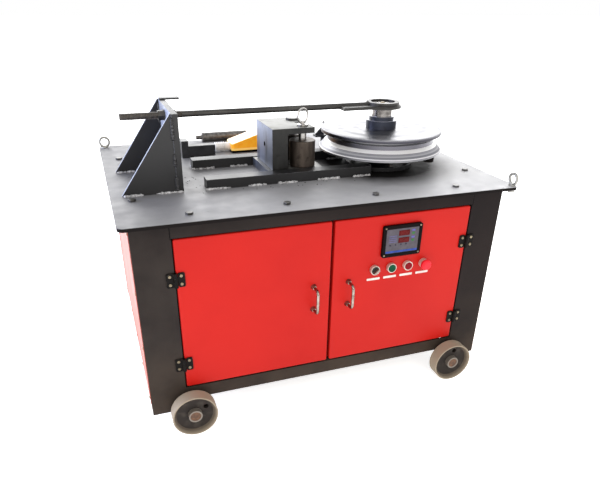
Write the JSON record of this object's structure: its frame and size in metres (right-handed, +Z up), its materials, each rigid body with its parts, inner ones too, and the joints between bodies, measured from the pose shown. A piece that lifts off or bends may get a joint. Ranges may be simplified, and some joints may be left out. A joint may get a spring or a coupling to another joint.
{
  "type": "pipe bending machine",
  "caption": "Electric pipe bender: wheeled cabinet with red doors and a bench top carrying a grooved turning die, a sliding roller guide and a braced tie rod.",
  "frame": {"origin": "middle of the footprint, at the ground under the wheels", "axes": "+X to the right along the front, +Y to the back, +Z up"},
  "size_m": [1.2, 0.93, 0.907],
  "materials": {
    "bench_paint": "semi-gloss charcoal paint, worn by use",
    "frame_paint": "satin black paint",
    "red_paint": "semi-gloss red paint",
    "chromed_wire": "polished",
    "turned_steel": "turned, bright",
    "bare_steel": "thin grey paint over ground steel, scuffed",
    "black_steel": "blackened",
    "worn_steel": "worn, lightly rusted",
    "roller_steel": "oiled, dark brown",
    "bolt_steel": "dull plated",
    "wheel_iron": "dusty casting",
    "drive_casting": "grey-painted casting",
    "motor_paint": "blue-grey enamel",
    "gear_steel": "hobbed, oiled",
    "box_paint": "light grey enamel",
    "panel_plastic": "fine texture, black",
    "collar_metal": "satin",
    "green_cap": "gloss",
    "red_cap": "gloss",
    "selector_metal": "gloss silver",
    "orange_shell": "orange enamel",
    "white_plastic": "fine matt"
  },
  "bodies": {
    "frame": {"table_top": "bench_paint", "front_legs": "frame_paint", "rear_legs": "frame_paint", "top_rails": "frame_paint", "bottom_rails": "frame_paint", "cross_bars": "frame_paint", "door_post": "frame_paint", "side_panels": "red_paint", "rear_panel": "red_paint", "table_bolts": "bolt_steel", "eye_bolts": "bolt_steel", "anchor_plate": "frame_paint", "anchor_gussets": "frame_paint", "tie_rod": "worn_steel", "tie_rod_nuts": "worn_steel", "guide_rails": "frame_paint", "table_stops": "frame_paint", "feed_screw": "worn_steel", "spindle_housing": "frame_paint", "spindle_bearings": "gear_steel", "drive_motor": "motor_paint", "gear_reducer": "drive_casting", "electrical_box": "box_paint", "angle_sensor": "panel_plastic", "foot_switch_base": "panel_plastic", "foot_switch_hood": "orange_shell", "foot_switch_gland": "white_plastic", "frame_hinge_leaves": "black_steel", "wheel_axles": "worn_steel", "axle_lugs": "frame_paint"},
    "left_door": {"left_door": "red_paint", "left_handle": "chromed_wire", "left_hinge_leaves": "black_steel"},
    "right_door": {"right_door": "red_paint", "right_handle": "chromed_wire", "right_hinge_leaves": "black_steel", "controller": "panel_plastic", "button_collars": "collar_metal"},
    "selector_knob": {"selector_knob": "selector_metal"},
    "start_button": {"start_button": "green_cap"},
    "stop_button": {"stop_button": "red_cap"},
    "emergency_button": {"emergency_button": "red_cap"},
    "spindle": {"main_spindle": "turned_steel", "die_upper_half": "turned_steel", "die_lower_half": "turned_steel", "spindle_collar": "black_steel", "clamp_stub": "black_steel", "drive_gear": "gear_steel"},
    "drive_pinion": {"drive_pinion": "gear_steel"},
    "guide_slide": {"slide_plate": "bare_steel", "guide_block": "bare_steel", "rear_roller_pin": "bare_steel"},
    "front_roller": {"front_roller": "roller_steel"},
    "rear_roller": {"rear_roller": "roller_steel"},
    "ring_pin": {"ring_pin": "turned_steel"},
    "foot_pedal": {"foot_pedal": "black_steel"},
    "wheel_front_left": {"wheel_front_left": "wheel_iron"},
    "wheel_front_right": {"wheel_front_right": "wheel_iron"},
    "wheel_rear_left": {"wheel_rear_left": "wheel_iron"},
    "wheel_rear_right": {"wheel_rear_right": "wheel_iron"}
  },
  "joints": [
    {"name": "left_door_hinge", "type": "hinge", "parent": "frame", "child": "left_door", "pos_m": [-0.465, -0.411, 0.382], "axis": [0, 0, -1], "range_deg": [0, 110]},
    {"name": "right_door_hinge", "type": "hinge", "parent": "frame", "child": "right_door", "pos_m": [0.465, -0.411, 0.382], "axis": [0, 0, 1], "range_deg": [0, 110]},
    {"name": "selector_turn", "type": "hinge", "parent": "right_door", "child": "selector_knob", "pos_m": [0.142, -0.405, 0.4495], "axis": [0, 1, 0], "range_deg": [-90, 0]},
    {"name": "start_press", "type": "slide", "parent": "right_door", "child": "start_button", "axis": [0, 1, 0], "range_m": [0, 0.004], "stiffness_N_per_m": 500},
    {"name": "stop_press", "type": "slide", "parent": "right_door", "child": "stop_button", "axis": [0, 1, 0], "range_m": [0, 0.004], "stiffness_N_per_m": 500},
    {"name": "emergency_press", "type": "slide", "parent": "right_door", "child": "emergency_button", "axis": [0, 1, 0], "range_m": [0, 0.0045], "stiffness_N_per_m": 900},
    {"name": "spindle_turn", "type": "hinge", "parent": "frame", "child": "spindle", "pos_m": [0.305, -0.0625, 0.7], "axis": [0, 0, 1], "continuous": true},
    {"name": "pinion_turn", "type": "hinge", "parent": "frame", "child": "drive_pinion", "pos_m": [0.098, -0.0625, 0.43], "axis": [0, 0, 1], "continuous": true},
    {"name": "guide_travel", "type": "slide", "parent": "frame", "child": "guide_slide", "axis": [1, 0, 0], "range_m": [-0.18, 0.045]},
    {"name": "front_roller_turn", "type": "hinge", "parent": "guide_slide", "child": "front_roller", "pos_m": [0.005, -0.1125, 0.745], "axis": [0, 0, 1], "continuous": true},
    {"name": "rear_roller_turn", "type": "hinge", "parent": "guide_slide", "child": "rear_roller", "pos_m": [0.005, -0.0125, 0.745], "axis": [0, 0, 1], "continuous": true},
    {"name": "ring_pin_pull", "type": "slide", "parent": "guide_slide", "child": "ring_pin", "axis": [0, 0, 1], "range_m": [0, 0.14]},
    {"name": "pedal_press", "type": "hinge", "parent": "frame", "child": "foot_pedal", "pos_m": [0.008, 0.247, 0.697], "axis": [0, -1, 0], "range_deg": [0, 4], "stiffness_Nm_per_rad": 10, "springref_deg": -2.86},
    {"name": "wheel_front_left_roll", "type": "hinge", "parent": "frame", "child": "wheel_front_left", "pos_m": [-0.453, -0.444, 0.069], "axis": [0, 1, 0], "continuous": true},
    {"name": "wheel_front_right_roll", "type": "hinge", "parent": "frame", "child": "wheel_front_right", "pos_m": [0.453, -0.444, 0.069], "axis": [0, 1, 0], "continuous": true},
    {"name": "wheel_rear_left_roll", "type": "hinge", "parent": "frame", "child": "wheel_rear_left", "pos_m": [-0.453, 0.444, 0.069], "axis": [0, 1, 0], "continuous": true},
    {"name": "wheel_rear_right_roll", "type": "hinge", "parent": "frame", "child": "wheel_rear_right", "pos_m": [0.453, 0.444, 0.069], "axis": [0, 1, 0], "continuous": true}
  ],
  "couplings": [
    {"joint": "pinion_turn", "follows": "spindle_turn", "ratio": -3.0588}
  ]
}
